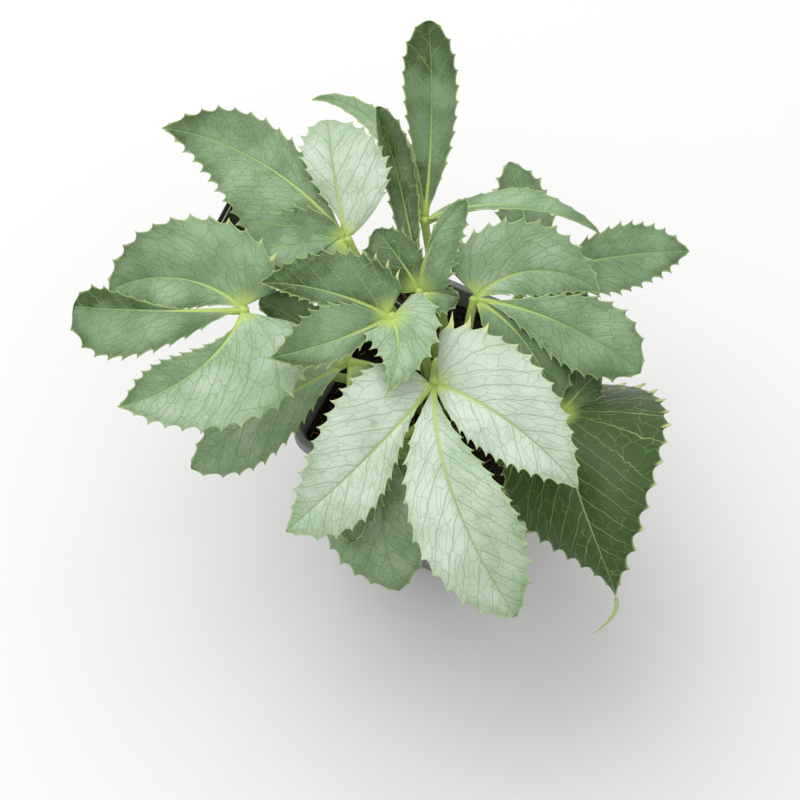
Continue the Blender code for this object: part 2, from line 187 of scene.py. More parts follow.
# How strongly veins, the hub's glow, the rim and the specks show, and how deep they lie.
# NET_SHADE and FINE_SHADE set how strongly painted shade darkens the sunken net and the fine net.
NET_SHADE = 0.8
FINE_SHADE = 0.25
MIDRIB_LIGHT = 0.85
HUB_LIGHT = 0.85
HUB_GLOW = 9.0
RIM_LIGHT = 0.6
SPECK_SHADE = 0.8
NET_DEPTH = 0.7
FINE_DEPTH = 0.15
GRAIN_HEIGHT = 0.3
TOP_ROUGH, VEIN_ROUGH = 0.46, 0.36

# Upper leaf colours. DEEP_GREEN, LEAF_GREEN and PALE_GREEN make the ramp for the bloom value, which carries
# painted light
# and shade as well as the wax: PALE_GREEN is whitish for a painted sheen, and DEEP_GREEN also stands in for
# shade.
DEEP_GREEN = (0.034, 0.080, 0.012)
LEAF_GREEN = (0.240, 0.368, 0.198)
PALE_GREEN = (0.545, 0.645, 0.53)
VEIN_NEAR_HUB = (0.40, 0.54, 0.15)
VEIN_LIGHT = (0.27, 0.43, 0.13)
# Painted shade in the sunken veins.
VEIN_SHADE = (0.055, 0.14, 0.028)
MIDRIB_NEAR_HUB = (0.56, 0.70, 0.20)
MIDRIB_GREEN = (0.26, 0.41, 0.15)
HUB_GREEN = (0.46, 0.62, 0.13)
RIM_GREEN = (0.42, 0.55, 0.20)
SPINE_CREAM = (0.58, 0.63, 0.26)
SPECK_BROWN = (0.33, 0.20, 0.09)

# Lower leaf colours.
UNDER_DARK = (0.20, 0.31, 0.14)
UNDER_LIGHT = (0.30, 0.42, 0.20)
UNDER_NET = (0.38, 0.52, 0.22)
UNDER_VEIN = (0.45, 0.58, 0.22)
UNDER_SPINE = (0.72, 0.74, 0.42)

# Stalk colours.
STALK_FOOT_GREEN = (0.27, 0.38, 0.10)
STALK_TOP_GREEN = (0.42, 0.56, 0.12)
RIB_GREEN = (0.40, 0.52, 0.20)
STREAK_GREEN = (0.20, 0.32, 0.07)
FLECK_RED = (0.24, 0.09, 0.06)

# The other colours, each from the darker to the lighter.
PLASTIC_GREYS = (0.195, 0.198, 0.195), (0.235, 0.238, 0.235)
PLASTIC_SPECKS = (0.10, 0.10, 0.10), (0.36, 0.36, 0.35)
COMPOST_BROWNS = (0.006, 0.005, 0.004), (0.022, 0.016, 0.011)
COMPOST_GRAIN = (0.05, 0.035, 0.022)
FIBRE_TANS = (0.12, 0.07, 0.035), (0.32, 0.21, 0.11)
LABEL_BLACKS = (0.006, 0.006, 0.007), (0.022, 0.022, 0.022)
LABEL_CREAMS = (0.52, 0.49, 0.40), (0.66, 0.63, 0.53)
FLOOR_PALE = (0.79, 0.79, 0.785)


@dataclass
class Leaflet:
    """One blade: where its midrib goes, how wide each side is, how the blade is held, and how waxy and how
    lit it is painted.

    Its bloom value is its waxy bloom together with painted light and shade: leaflets in shade or facing away
    from the light were given less, those facing it more. widest holds the shares of the length at which the
    left and the right
    side are widest. lit is painted light: it adds to the bloom value on the left half and takes it from the
    right, so that one half looks lit and the other shaded. tail holds the bend and the end of a dried tail,
    from the tip.
    """

    length: float
    heading: float
    rise: float
    left: float
    right: float
    droop: float = 30.0
    turn: float = 0.0
    roll: float = 0.0
    twist: float = 0.0
    fold: float = 12.0
    hook: float = 0.0
    curl: float = 0.0
    widest: tuple = (0.48, 0.48)
    lobe_left: float = 0.0
    lobe_right: float = 0.0
    sweep: float = 20.0
    blunt: float = 0.8
    teeth: int = 11
    tooth: float = 2.0
    jag: float = 1.0
    wave: float = 0.8
    bloom: float = 0.5
    lit: float = 0.0
    tail: tuple = ()


# Each leaflet's bloom is its wax together with painted light and shade: leaflets in shade or facing away from
# the light have less, those facing it more. lit paints one half of a leaflet lighter and the other darker.
LEAVES = {
    "leaf_front": dict(crown=(0, -6), via=(-4, -6, 138), hub=(-5, -33, 150), leaflets=[
        Leaflet(64, -29, 14, 23, 13, droop=42, turn=-17, widest=(0.25, 0.45), lobe_left=0.1, sweep=19,
                blunt=1.1, teeth=14, jag=2.4, bloom=0.95),
        Leaflet(91, -93, 8, 17, 17, droop=45, turn=46, widest=(0.65, 0.6), blunt=0.9, teeth=15, bloom=0.86,
                lit=-0.08),
        Leaflet(75, -123, 6, 14, 21, droop=32, turn=-24, widest=(0.7, 0.3), lobe_right=0.1, sweep=0,
                blunt=1.1, teeth=14, jag=1.6, bloom=0.88),
    ]),
    "leaf_young": dict(crown=(-5, -1), via=(-10, -6, 140), hub=(-20, -14, 163), leaflets=[
        Leaflet(51, 156, 15, 5, 15, droop=40, turn=9, widest=(0.45, 0.3), lobe_right=0.1, sweep=0,
                blunt=1.15, teeth=12, jag=2, bloom=0.1),
        Leaflet(48, -140, 15, 7, 12, droop=45, turn=-46, widest=(0.55, 0.45), blunt=1.55, teeth=12,
                bloom=0.28),
        Leaflet(32, -68, 14, 15, 12, droop=50, turn=-54, widest=(0.2, 0.1), lobe_left=0.05, sweep=25,
                blunt=1.7, teeth=9, bloom=0.55),
    ]),
    "leaf_centre": dict(crown=(-1, 6), via=(-8, 9, 122), hub=(-10, 14, 136), leaflets=[
        Leaflet(72, 97, 17, 5, 7, droop=0, turn=12, fold=32, widest=(0.5, 0.7), blunt=0.6, teeth=12,
                tooth=1.2, bloom=0.04),
        Leaflet(28, 130, 46, 12, 8, droop=45, teeth=9, bloom=0.12),
        Leaflet(39, 81, 56, 3, 10, droop=25, turn=-56, widest=(0.8, 0.35), lobe_right=1.3, sweep=15,
                blunt=0.7, teeth=9, bloom=0.42),
        Leaflet(15, -14, 8, 3, 7, droop=10, widest=(0.6, 0.55), blunt=0.6, teeth=6, bloom=0.3),
    ]),
    "leaf_tall": dict(crown=(2, 11), via=(-6, 35, 124), hub=(-8, 41, 142), leaflets=[
        Leaflet(72, 81, 42, 10, 9, droop=5, turn=15, fold=20, widest=(0.7, 0.65), blunt=0.55, teeth=13,
                tooth=1.2, bloom=0.22, lit=-0.05),
        Leaflet(68, 10, 24, 9, 3, droop=48, turn=-30, roll=45, hook=10, widest=(0.55, 0.3), blunt=1,
                teeth=12, tooth=1.2, bloom=0.46),
        Leaflet(82, 94, -2, 5, 5, droop=-4, turn=62, hook=50, widest=(0.2, 0.4), teeth=10, tooth=1.2,
                bloom=0.6),
    ]),
    "leaf_back_left": dict(crown=(-7, 8), via=(-26, 19, 127), hub=(-36, 29, 147), leaflets=[
        Leaflet(89, 129, 14, 27, 14, droop=32, turn=29, roll=-6, fold=5, widest=(0.15, 0.6), blunt=1.1,
                teeth=15, bloom=0.34),
        Leaflet(51, 105, 28, 10, 19, droop=21, turn=-12, hook=50, widest=(0.65, 0.45), blunt=1.05,
                bloom=0.84),
        Leaflet(40, -178, 6, 14, 12, droop=45, widest=(0.3, 0.48), lobe_left=0.1, teeth=9, bloom=0.27),
    ]),
    "leaf_left": dict(crown=(-11, 3), via=(-74, 1, 92), hub=(-72, -3, 150), leaflets=[
        Leaflet(63, 189, 10, 17, 7, turn=-27, widest=(0.7, 0.85), blunt=0.65, teeth=12, bloom=0.26,
                lit=0.09),
        Leaflet(52, 138, 14, 12, 23, droop=28, turn=65, fold=14, widest=(0.6, 0.35), lobe_right=0.05,
                sweep=24, blunt=0.85, teeth=13, jag=2.2, bloom=0.42),
        Leaflet(62, -103, 8, 29, 9, droop=35, turn=-80, widest=(0.25, 0.65), lobe_left=0.05, sweep=0,
                blunt=1.35, teeth=14, jag=1.8, bloom=0.58, lit=0.1),
    ]),
    "leaf_right": dict(crown=(6, 2), via=(8, 6, 130), hub=(10, 11, 135), leaflets=[
        Leaflet(51, 44, 18, 19, 9, droop=40, turn=-80, widest=(0.3, 0.5), lobe_left=0.1, sweep=0, blunt=1.15,
                teeth=13, jag=1.8, bloom=0.56),
        Leaflet(67, -16, 12, 14, 13, droop=35, turn=-18, widest=(0.7, 0.65), blunt=0.95, teeth=13,
                bloom=0.46),
        Leaflet(51, -33, 0, 12, 12, turn=-40, widest=(0.6, 0.5), blunt=1.1, bloom=0.3),
    ]),
    "leaf_back_right": dict(crown=(9, 8), via=(26, 26, 110), hub=(34, 34, 116), leaflets=[
        Leaflet(60, 7, 20, 11, 13, droop=40, turn=6, widest=(0.6, 0.45), blunt=1.05, teeth=14, bloom=0.44),
        Leaflet(49, 101, 22, 9, 10, teeth=9, bloom=0.36),
        Leaflet(34, -52, 4, 9, 9, droop=25, teeth=7, bloom=0.28),
    ]),
    "leaf_low_left": dict(crown=(-10, -4), via=(-24, -3, 112), hub=(-35, -2, 112), leaflets=[
        Leaflet(71, -151, 4, 15, 12, droop=28, turn=8, widest=(0.65, 0.35), teeth=13, bloom=0.64),
        Leaflet(69, -93, 2, 19, 7, turn=8, widest=(0.35, 0.8), teeth=12, bloom=0.4),
        Leaflet(41, 140, 22, 7, 8, droop=15, turn=17, widest=(0.25, 0.6), blunt=0.4, teeth=9, bloom=0.3),
    ]),
    "leaf_bottom": dict(crown=(-5, -12), via=(-14, -24, 98), hub=(-20, -30, 99), leaflets=[
        Leaflet(56, -108, 6, 16, 24, droop=50, turn=45, widest=(0.6, 0.35), blunt=0.9, teeth=12, bloom=0.62),
        Leaflet(33, -32, 6, 8, 8, droop=25, teeth=7, bloom=0.4),
        Leaflet(32, -150, 2, 8, 8, droop=20, teeth=7, bloom=0.4),
    ]),
    "leaf_drooping": dict(crown=(8, -6), via=(32, -20, 114), hub=(41, -27, 118), leaflets=[
        Leaflet(78, -90, 20, 50, 24, droop=65, turn=36, roll=19, twist=-59, fold=16, hook=30, curl=0.4,
                widest=(0.15, 0.35), lobe_left=0.1, sweep=59, blunt=1.75, teeth=15, tooth=3, jag=2,
                bloom=-0.16, tail=((1.5, -4.5, -4.5), (-8.0, -9.5, -8.5))),
        Leaflet(24, 52, 5, 7, 7, droop=20, teeth=7, bloom=0.1),
        Leaflet(30, -140, 2, 8, 8, droop=20, teeth=7, bloom=0.1),
    ]),
}


def unit(vectors):
    return vectors / np.linalg.norm(vectors, axis=-1, keepdims=True)


def direction(heading, pitch):
    """Unit vectors at these headings, counter-clockwise from +X, and these angles above level."""
    heading, pitch = np.radians(heading), np.radians(pitch)
    level = np.cos(pitch)
    return np.stack((np.cos(heading) * level, np.sin(heading) * level, np.sin(pitch)), axis=-1)


def smoothstep(low, high, value):
    share = np.clip((value - low) / (high - low), 0.0, 1.0)
    return share * share * (3 - 2 * share)


def to_row(points):
    """From millimetres in the leaves' own frame to metres in the part's frame."""
    turn = radians(FOLIAGE_TURN)
    x, y, z = np.asarray(points, float).T * MM
    return np.stack((x * cos(turn) - y * sin(turn), x * sin(turn) + y * cos(turn), z), axis=1)


def to_leaves(x, y):
    """From the part's frame to the leaves' own frame, seen from above, in millimetres."""
    turn = radians(-FOLIAGE_TURN)
    return x * cos(turn) - y * sin(turn), x * sin(turn) + y * cos(turn)


class Blade:
    """The middle surface of a leaflet, for arrays of s along the midrib and q across it."""

    STEPS = 60

    def __init__(self, hub, leaflet):
        self.leaf = leaflet
        middles = (np.arange(self.STEPS) + 0.5) / self.STEPS
        steps = self.tangent(middles) * leaflet.length / self.STEPS
        self.midrib = np.vstack([hub, np.asarray(hub) + np.cumsum(steps, axis=0)])

    def tangent(self, s):
        leaf = self.leaf
        return direction(leaf.heading + leaf.turn * s, leaf.rise - leaf.droop * s - leaf.hook * s**5)

    def on_midrib(self, s):
        at = np.clip(s, 0.0, 1.0) * self.STEPS
        low = np.minimum(at.astype(int), self.STEPS - 1)
        return self.midrib[low] + (at - low)[:, None] * (self.midrib[low + 1] - self.midrib[low])

    def half_width(self, s, side):
        """The full half width where the blade is widest, and nothing at the tip. side is 1 for left."""
        leaf = self.leaf
        full = np.where(side > 0, leaf.left, leaf.right)
        widest = np.where(side > 0, *leaf.widest)
        lobe = np.where(side > 0, leaf.lobe_left, leaf.lobe_right)
        s = np.clip(s, TINY, 1 - TINY)
        base_power = leaf.blunt * (widest + lobe) / (1 - widest)
        return full * ((s + lobe) / (widest + lobe)) ** base_power * ((1 - s) / (1 - widest)) ** leaf.blunt

    def sweep(self, s, side):
        """How far a lobed side is swept back towards the stalk, in radians."""
        has_lobe = np.where(side > 0, self.leaf.lobe_left, self.leaf.lobe_right) > 0
        return radians(self.leaf.sweep) * has_lobe * np.maximum(0.0, 1 - s) ** 2

    def frame(self, s, side):
        """The ways along the midrib, up from the blade and out to this side."""
        along = self.tangent(s)
        up = unit(FACE - (along @ FACE)[:, None] * along)
        left = np.cross(up, along)
        roll = np.radians(self.leaf.roll + self.leaf.twist * s)[:, None]
        up, left = up * np.cos(roll) + left * np.sin(roll), left * np.cos(roll) - up * np.sin(roll)
        sweep = self.sweep(s, side)[:, None]
        return along, up, left * side[:, None] * np.cos(sweep) - along * np.sin(sweep)

    def point(self, s, q, extra=0.0, lift=0.0):
        """q runs from -1 at the right margin to 1 at the left, and extra goes on past the margin."""
        leaf = self.leaf
        side = np.where(q >= 0, 1.0, -1.0)
        along, up, outward = self.frame(s, side)
        width = self.half_width(s, side)
        reach = np.abs(q)
        across = reach * width + TOOTH_OUT * extra
        fold = radians(leaf.fold) * (1 - 0.5 * reach)
        wave = leaf.wave * np.sin(4 * pi * s + side) * reach**2 * np.minimum(1.0, width / 8)
        rise = across * np.sin(fold) + wave - leaf.curl * across * reach + lift
        place = self.on_midrib(s) + outward * (across * np.cos(fold))[:, None]
        forward = np.broadcast_to(np.minimum(TOOTH_AHEAD * extra, TOOTH_LEAN), s.shape)
        return place + up * rise[:, None] + along * forward[:, None]

    def normal(self, s, q):
        """The way the upper face looks, measured a little inside the margins."""
        s = np.clip(s, BLADE_INSET, 1 - BLADE_INSET)
        q = np.clip(q, BLADE_INSET - 1, 1 - BLADE_INSET)
        ahead = self.point(s + 0.02, q) - self.point(s - 0.02, q)
        aside = self.point(s, q + BLADE_INSET) - self.point(s, q - BLADE_INSET)
        return unit(np.cross(ahead, aside))

    def flat(self, s, q):
        """Where the point lies on the blade laid flat: along the midrib, and away from it to either side."""
        side = np.where(q >= 0, 1.0, -1.0)
        across = np.abs(q) * self.half_width(s, side)
        sweep = self.sweep(s, side)
        return s * self.leaf.length - across * np.sin(sweep), across * np.cos(sweep)

    def vein(self, s, q):
        """A number that is whole on each side vein, and the way along that vein.

        Veins leave the midrib at a slant, and those at the base fan out from the hub.
        """
        x, y = self.flat(s, q)
        run = VEIN_LEAN * (1 + VEIN_BEND * y)
        slant = x - run * y
        fanned = (np.arctan2(1.0, run) - np.arctan2(y, x)) / radians(VEIN_FAN)
        lean = np.arctan(1 / VEIN_LEAN)
        return np.where(slant > 0, slant / VEIN_SPACING, fanned), x * cos(lean) + y * sin(lean)


def tooth_pitch(leaflet):
    return (1 - TEETH_START) / leaflet.teeth


def stations(leaflet):
    """The rows along a blade: closely set round each tooth's tip, then closing in on the blade's tip."""
    pitch = tooth_pitch(leaflet)
    rows = [TEETH_START + pitch * (tooth + t) for tooth in range(leaflet.teeth) for t in TOOTH_ROWS]
    return np.array(rows + [1 - gap * pitch for gap in TIP_ROWS])


def tooth_shape(t):
    """A tooth's height at this share of its pitch: a slow rise to a sharp spine, then a quick fall."""
    rising = t / TOOTH_TIP
    falling = np.clip((TOOTH_END - t) / (TOOTH_END - TOOTH_TIP), 0.0, 1.0)
    before = 0.65 * rising**1.2 + 0.35 * rising**6
    after = 0.55 * falling**1.4 + 0.45 * falling**6
    return np.where(t <= TOOTH_TIP, before, after)


def tooth_reach(blade, s, side, sizes):
    """How far the margin stands out past the blade's own outline, as hooked teeth that end in a spine."""
    leaf = blade.leaf
    pitch = tooth_pitch(leaf)
    number = np.clip(((s - TEETH_START) / pitch + TINY).astype(int), 0, leaf.teeth - 1)
    t = np.maximum(0.0, (s - TEETH_START) / pitch - number)
    at_tip = TEETH_START + pitch * (number + TOOTH_TIP)
    width = blade.half_width(at_tip, np.full(s.shape, float(side)))
    size = leaf.tooth * (1.5 - 0.6 * at_tip) * np.minimum(1.0, width / 6)
    if (leaf.lobe_left if side > 0 else leaf.lobe_right) > 0:
        size = size * (1 + (leaf.jag - 1) * np.maximum(0.0, 1 - number / 3))
    else:
        size = size * (0.2 + 0.8 * smoothstep(0.1, 0.34, at_tip))
    return size * tooth_shape(t) * sizes[number] * (s < 1 - 0.1 * pitch)


class Pile:
    """A mesh in the making: points, faces, the material of each face and values for the materials.

    flat: where a point lies on its blade laid flat, and the blade's seed; on a tube, the point itself
    vein: the side vein's number and the way along it, and a seed for the blade's half
    mark: s, the distance from the margin and a tooth's reach; on a tube, the way along it
    bloom: how waxy the blade is, together with its painted light and shade
    """

    def __init__(self):
        self.points, self.faces, self.looks = [], [], []
        self.values = {"flat": [], "vein": [], "mark": [], "bloom": []}
        self.count = 0

    def add(self, points, faces, looks, **given):
        """Adds a piece. A value that isn't given is zero."""
        self.points.append(points)
        self.faces += [tuple(i + self.count for i in face) for face in faces]
        self.looks += looks
        for name, parts in self.values.items():
            nothing = np.zeros(len(points)) if name == "bloom" else np.zeros((len(points), 3))
            parts.append(given.get(name, nothing))
        self.count += len(points)

    def finish(self, name, materials):
        mesh = bpy.data.meshes.new(name)
        mesh.from_pydata(to_row(np.vstack(self.points)).tolist(), [], self.faces)
        for look in materials:
            mesh.materials.append(look)
        mesh.polygons.foreach_set("material_index", self.looks)
        for label, parts in self.values.items():
            values = np.concatenate(parts).astype(np.float32)
            kind, field = ("FLOAT", "value") if values.ndim == 1 else ("FLOAT_VECTOR", "vector")
            mesh.attributes.new(label, kind, "POINT").data.foreach_set(field, values.ravel())
        mesh.shade_smooth()
        return linked(name, mesh)


def linked(name, data):
    """A new object in the scene, with this mesh, light or camera."""
    made = bpy.data.objects.new(name, data)
    bpy.context.scene.collection.objects.link(made)
    return made


TOP, UNDER, STEM = 0, 1, 2


def blade_faces(rows, across):
    """Faces for a grid of points that ends in one tip point, for the same grid below it and for their rim."""
    last = rows * across
    count = last + 1
    top = []
    for i in range(rows - 1):
        for j in range(across - 1):
            a = i * across + j
            top.append((a, a + across, a + across + 1, a + 1))
    start = last - across
    top += [(start + j, last, start + j + 1) for j in range(across - 1)]
    under = [tuple(i + count for i in face[::-1]) for face in top]
    ring = [*range(across), *(i * across + across - 1 for i in range(1, rows)), last]
    ring += [i * across for i in range(rows - 1, 0, -1)]
    rim = [(a, b, b + count, a + count) for a, b in zip(ring, ring[1:] + ring[:1])]
    return top, under, rim


def add_blade(pile, hub, leaflet, rng, seed):
    """A thin closed shell, with teeth, quilting between its veins, a grooved midrib and a rib under it."""
    blade = Blade(hub, leaflet)
    rows = stations(leaflet)
    columns = np.array([-c for c in COLUMNS[:0:-1]] + list(COLUMNS))
    s, q = (grid.ravel() for grid in np.meshgrid(rows, columns, indexing="ij"))
    sizes = {side: rng.uniform(*TOOTH_SIZES, leaflet.teeth) for side in (1, -1)}
    tooth = np.where(q > 0, tooth_reach(blade, s, 1, sizes[1]), tooth_reach(blade, s, -1, sizes[-1]))
    extra = tooth * smoothstep(TOOTH_ROOT, 1.0, np.abs(q)) ** 1.2

    s, q, extra = np.append(s, 1.0), np.append(q, 0.0), np.append(extra, 0.0)
    side = np.where(q >= 0, 1.0, -1.0)
    width = blade.half_width(s, side)
    from_mid, from_edge = np.abs(q) * width, (1 - np.abs(q)) * width
    number, way = blade.vein(s, q)
    quilt = (0.5 - 0.5 * np.cos(2 * pi * number)) ** 0.7
    quilt = QUILT * quilt * smoothstep(0.5, 4.0, from_mid) * smoothstep(0.0, 4.0, from_edge)
    ripple = TOOTH_RIPPLE * extra * np.sin(RIPPLE_RATE * s + seed)
    groove = GROOVE_DEPTH * np.exp(-((from_mid / GROOVE_WIDTH) ** 2)) * (1 - s) ** 0.5
    centre = blade.point(s, q, extra, quilt + ripple)
    normal = blade.normal(s, q)
    thick = 0.5 * BLADE_THICK * (0.5 + 0.5 * smoothstep(0.0, 2.5, from_edge + 0.3))
    shell = np.vstack([centre + normal * (thick - groove)[:, None], centre - normal * thick[:, None]])

    x, y = blade.flat(s, q)
    values = {
        "flat": np.stack((x, y * side, np.full(len(x), seed)), axis=1),
        "vein": np.stack((number + 0.5 * (side < 0), way, seed + 0.5 * side), axis=1),
        "mark": np.stack((s, from_edge, np.where(np.abs(q) > 0.9, extra, 0.0)), axis=1),
        # The bloom, with its painted light and shade, and lit painting one half lighter and the other darker.
        "bloom": leaflet.bloom + leaflet.lit * np.clip(4 * q, -1.0, 1.0),
    }
    top, under, rim = blade_faces(len(rows), len(columns))
    looks = [TOP] * len(top) + [UNDER] * len(under) + [TOP] * len(rim)
    both = {name: np.concatenate([value, value]) for name, value in values.items()}
    pile.add(shell, top + under + rim, looks, **both)
    if leaflet.tail:
        add_tail(pile, centre[-1], normal[-1], np.array(leaflet.tail, float))
    add_rib(pile, blade)


def add_tail(pile, tip, normal, bends):
    """A dried tail at the blade's tip."""
    steps = np.linspace(0.0, 1.0, TAIL_STEPS)
    t = steps[:, None]
    route = tip + 2 * (1 - t) * t * bends[0] + t**2 * bends[1] - normal * TAIL_SUNK
    radii = TAIL_RADIUS * (1 - steps) ** 0.7 + TAIL_LEAST
    add_tube(pile, route, radii, RIB_SIDES, np.full(TAIL_STEPS, TAIL_WAY))


def add_rib(pile, blade):
    """The midrib as it stands out under the blade, thinner towards the tip."""
    ways, middle = np.linspace(0.0, RIB_END, RIB_STEPS), np.zeros(RIB_STEPS)
    radii = RIB_RADIUS * (1 - ways) ** 1.3 + RIB_LEAST
    sunk = blade.normal(ways, middle) * (radii * 0.75 + 0.1)[:, None]
    add_tube(pile, blade.point(ways, middle) - sunk, radii, RIB_SIDES, 1.0 + ways)


def add_tube(pile, route, radii, sides, ways):
    """A closed tube. ways goes from 0 at a stalk's foot to 1 at its hub, and on to 2 at a blade's tip."""
    across = np.array((1.0, 0.0, 0.0))
    points, marks = [], []
    for i, centre in enumerate(route):
        along = unit(route[min(i + 1, len(route) - 1)] - route[max(i - 1, 0)])
        across = unit(across - np.dot(across, along) * along)
        other = np.cross(along, across)
        for k in range(sides):
            turn = 2 * pi * k / sides
            points.append(centre + radii[i] * (across * cos(turn) + other * sin(turn)))
            marks.append((ways[i], 0.0, 0.0))
    faces = []
    for i in range(len(route) - 1):
        for k in range(sides):
            a, b = i * sides + k, i * sides + (k + 1) % sides
            faces.append((a, b, b + sides, a + sides))
    last = len(points) - sides
    faces.append(tuple(range(sides))[::-1])
    faces.append(tuple(last + k for k in range(sides)))
    points = np.array(points)
    pile.add(points, faces, [STEM] * len(faces), flat=points, mark=np.array(marks))


def stalk_route(leaf):
    """Straight up out of its hole in the compost, then one smooth curve to the hub."""
    foot = np.array((*leaf["crown"], SOIL_TOP + STALK_UPRIGHT), float)
    via, hub = np.array(leaf["via"], float), np.array(leaf["hub"], float)
    rise = foot + np.array((0.0, 0.0, 0.45 * (via[2] - foot[2])))
    route = [foot - np.array((0.0, 0.0, STALK_DEPTH + STALK_UPRIGHT)), foot - np.array((0.0, 0.0, 3.0))]
    for step in range(STALK_STEPS + 1):
        t = step / STALK_STEPS
        u = 1 - t
        route.append(u**3 * foot + 3 * u**2 * t * rise + 3 * u * t**2 * via + t**3 * hub)
    return np.array(route)


def add_stalk(pile, leaf):
    """The stalk, thinner towards its top, but thicker again where it carries the leaflets."""
    route = stalk_route(leaf)
    ways = np.linspace(0.0, 1.0, len(route))
    radii = STALK_RADIUS * (1 - STALK_TAPER * ways) * (1 + STALK_SWELL * smoothstep(0.93, 1.0, ways))
    end = unit(route[-1] - route[-2])
    route = np.vstack([route, route[-1] + end * 0.9])
    add_tube(pile, route, np.append(radii, radii[-1] * 0.55), STALK_SIDES, np.append(ways, 1.0))


class Look:
    """A material, with short calls for the nodes that its pattern is made of."""

    def __init__(self, name, roughness, specular):
        self.material = bpy.data.materials.new(name)
        self.material.use_nodes = True
        self.tree = self.material.node_tree
        self.shader = self.tree.nodes["Principled BSDF"]
        self.roughness(roughness)
        self.put(self.shader.inputs["Specular IOR Level"], specular)

    def put(self, socket, value):
        """Links a socket to another node, or sets it to a number or a colour."""
        if isinstance(value, bpy.types.NodeSocket):
            self.tree.links.new(value, socket)
        elif isinstance(value, tuple) and len(value) == 3 and socket.type == "RGBA":
            socket.default_value = (*value, 1.0)
        else:
            socket.default_value = value

    def node(self, kind):
        return self.tree.nodes.new("ShaderNode" + kind)

    def fill(self, node, given):
        """Fills the node's inputs, by name or number, and gives its outputs."""
        for name, value in dict(given).items():
            self.put(node.inputs[name], value)
        return node.outputs

    def kept(self, name, output="Vector"):
        """What the mesh keeps under this name. Fac gives a single number."""
        node = self.node("Attribute")
        node.attribute_name = name
        return node.outputs[output]

    def parts(self, name, axes="XYZ"):
        """Some of the three numbers that the mesh keeps under this name."""
        split = self.fill(self.node("SeparateXYZ"), {0: self.kept(name)})
        return [split[axis] for axis in axes]

    def place(self):
        return self.node("TexCoord").outputs["Object"]

    def vector(self, *values):
        return self.fill(self.node("CombineXYZ"), enumerate(values))[0]

    def math(self, operation, *values, clamp=False):
        node = self.node("Math")
        node.operation, node.use_clamp = operation, clamp
        return self.fill(node, enumerate(values))[0]

    def plus(self, first, second, clamp=False):
        return self.math("ADD", first, second, clamp=clamp)

    def times(self, first, second, plus=0.0, clamp=False):
        return self.math("MULTIPLY_ADD", first, second, plus, clamp=clamp)

    def most(self, first, *others):
        for other in others:
            first = self.math("MAXIMUM", first, other)
        return first

    def step(self, value, low, high, start=0.0, end=1.0):
        """A smooth change from start to end as the value goes from low to high."""
        node = self.node("MapRange")
        node.interpolation_type = "SMOOTHSTEP"
        given = {"Value": value, "From Min": low, "From Max": high, "To Min": start, "To Max": end}
        return self.fill(node, given)[0]

    def fade(self, value, low, high, full=1.0):
        """Full at low, and gone at high."""
        return self.step(value, low, high, full, 0.0)

    def mix(self, share, first, second):
        node = self.node("Mix")
        node.data_type = "RGBA"
        return self.fill(node, {0: share, 6: first, 7: second})[2]

    def noise(self, vector, scale, detail=2.0, roughness=0.5):
        given = {"Vector": vector, "Scale": scale, "Detail": detail, "Roughness": roughness}
        return self.fill(self.node("TexNoise"), given)["Fac"]

    def cell_edges(self, vector):
        """How far the point is from the nearest edge between cells that are about 1 wide."""
        node = self.node("TexVoronoi")
        node.feature = "DISTANCE_TO_EDGE"
        return self.fill(node, {"Vector": vector, "Scale": 1.0})["Distance"]

    def bump(self, height, depth, strength=1.0):
        given = {"Strength": strength, "Distance": depth * MM, "Height": height}
        self.put(self.shader.inputs["Normal"], self.fill(self.node("Bump"), given)[0])

    def colour(self, value):
        self.put(self.shader.inputs["Base Color"], value)

    def roughness(self, value):
        self.put(self.shader.inputs["Roughness"], value)


Veins = namedtuple("Veins", "mid sides core net fine")


def vein_lines(look):
    """How much of a vein each point of the blade is, for its midrib, side veins and the net between them."""
    flat = look.kept("flat")
    y = look.parts("flat", "Y")[0]
    number, way, half = look.parts("vein")
    s, edge = look.parts("mark", "XY")
    bend = look.math("SUBTRACT", look.noise(flat, 0.16), 0.5)
    number = look.times(bend, 0.4, number)
    off = look.math("PINGPONG", number, 0.5)
    width = look.step(edge, 0.5, 9.0, SIDE_VEIN * 0.45, SIDE_VEIN)
    sides = look.fade(off, look.times(width, 0.3), width)
    core = look.fade(off, look.times(width, 0.15), look.times(width, 0.6))

    shift = look.times(bend, 0.9, look.times(way, 0.155))
    net = look.cell_edges(look.vector(look.times(number, 1.9), shift, half))
    net = look.fade(net, 0.008, NET_VEIN)
    fine = look.cell_edges(look.vector(look.times(number, 5.2), look.times(way, 0.5), half))
    fine = look.fade(fine, 0.01, FINE_VEIN)

    width = look.step(s, 0.0, 0.95, 0.95, 0.22)
    mid = look.fade(look.math("ABSOLUTE", y), look.times(width, 0.35), width)
    return Veins(mid, sides, core, net, fine)


